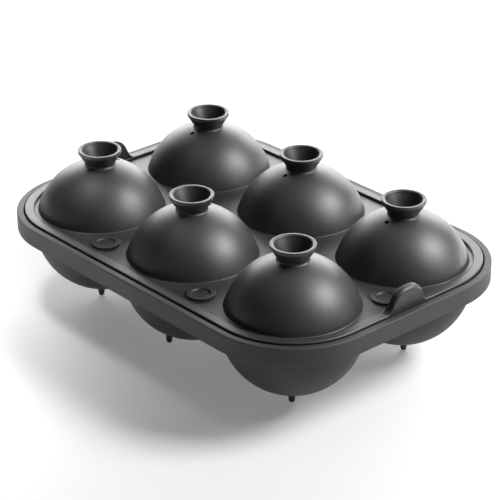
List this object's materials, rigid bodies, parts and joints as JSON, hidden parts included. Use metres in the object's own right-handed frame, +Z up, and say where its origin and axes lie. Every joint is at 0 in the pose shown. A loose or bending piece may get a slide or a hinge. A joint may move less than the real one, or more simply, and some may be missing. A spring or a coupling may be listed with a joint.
{
  "type": "ice ball mold",
  "caption": "Silicone ice ball mold: a rimmed tray of round cups on peg feet, closed by a nesting lid of domes with filling funnels, vent holes, press studs and pull tabs.",
  "frame": {"origin": "on the table, under the middle of the tray", "axes": "+X along the long side, +Y along the short side towards the back row, +Z up"},
  "size_m": [0.1858, 0.129, 0.0667],
  "materials": {
    "tray_silicone": "matte moulded silicone",
    "lid_silicone": "matte moulded silicone"
  },
  "bodies": {
    "tray": {"tray_deck": "tray_silicone", "tray_rim": "tray_silicone", "cup_front_left": "tray_silicone", "cup_front_middle": "tray_silicone", "cup_front_right": "tray_silicone", "cup_back_left": "tray_silicone", "cup_back_middle": "tray_silicone", "cup_back_right": "tray_silicone", "tray_feet": "tray_silicone"},
    "lid": {"lid_deck": "lid_silicone", "lid_rim": "lid_silicone", "dome_front_left": "lid_silicone", "dome_front_middle": "lid_silicone", "dome_front_right": "lid_silicone", "dome_back_left": "lid_silicone", "dome_back_middle": "lid_silicone", "dome_back_right": "lid_silicone", "funnel_front_left": "lid_silicone", "funnel_front_middle": "lid_silicone", "funnel_front_right": "lid_silicone", "funnel_back_left": "lid_silicone", "funnel_back_middle": "lid_silicone", "funnel_back_right": "lid_silicone", "pull_tab_left": "lid_silicone", "pull_tab_right": "lid_silicone", "lid_studs": "lid_silicone"}
  },
  "joints": [
    {"name": "lid_lift", "type": "slide", "parent": "tray", "child": "lid", "axis": [0, 0, 1], "range_m": [0, 0.06]}
  ]
}
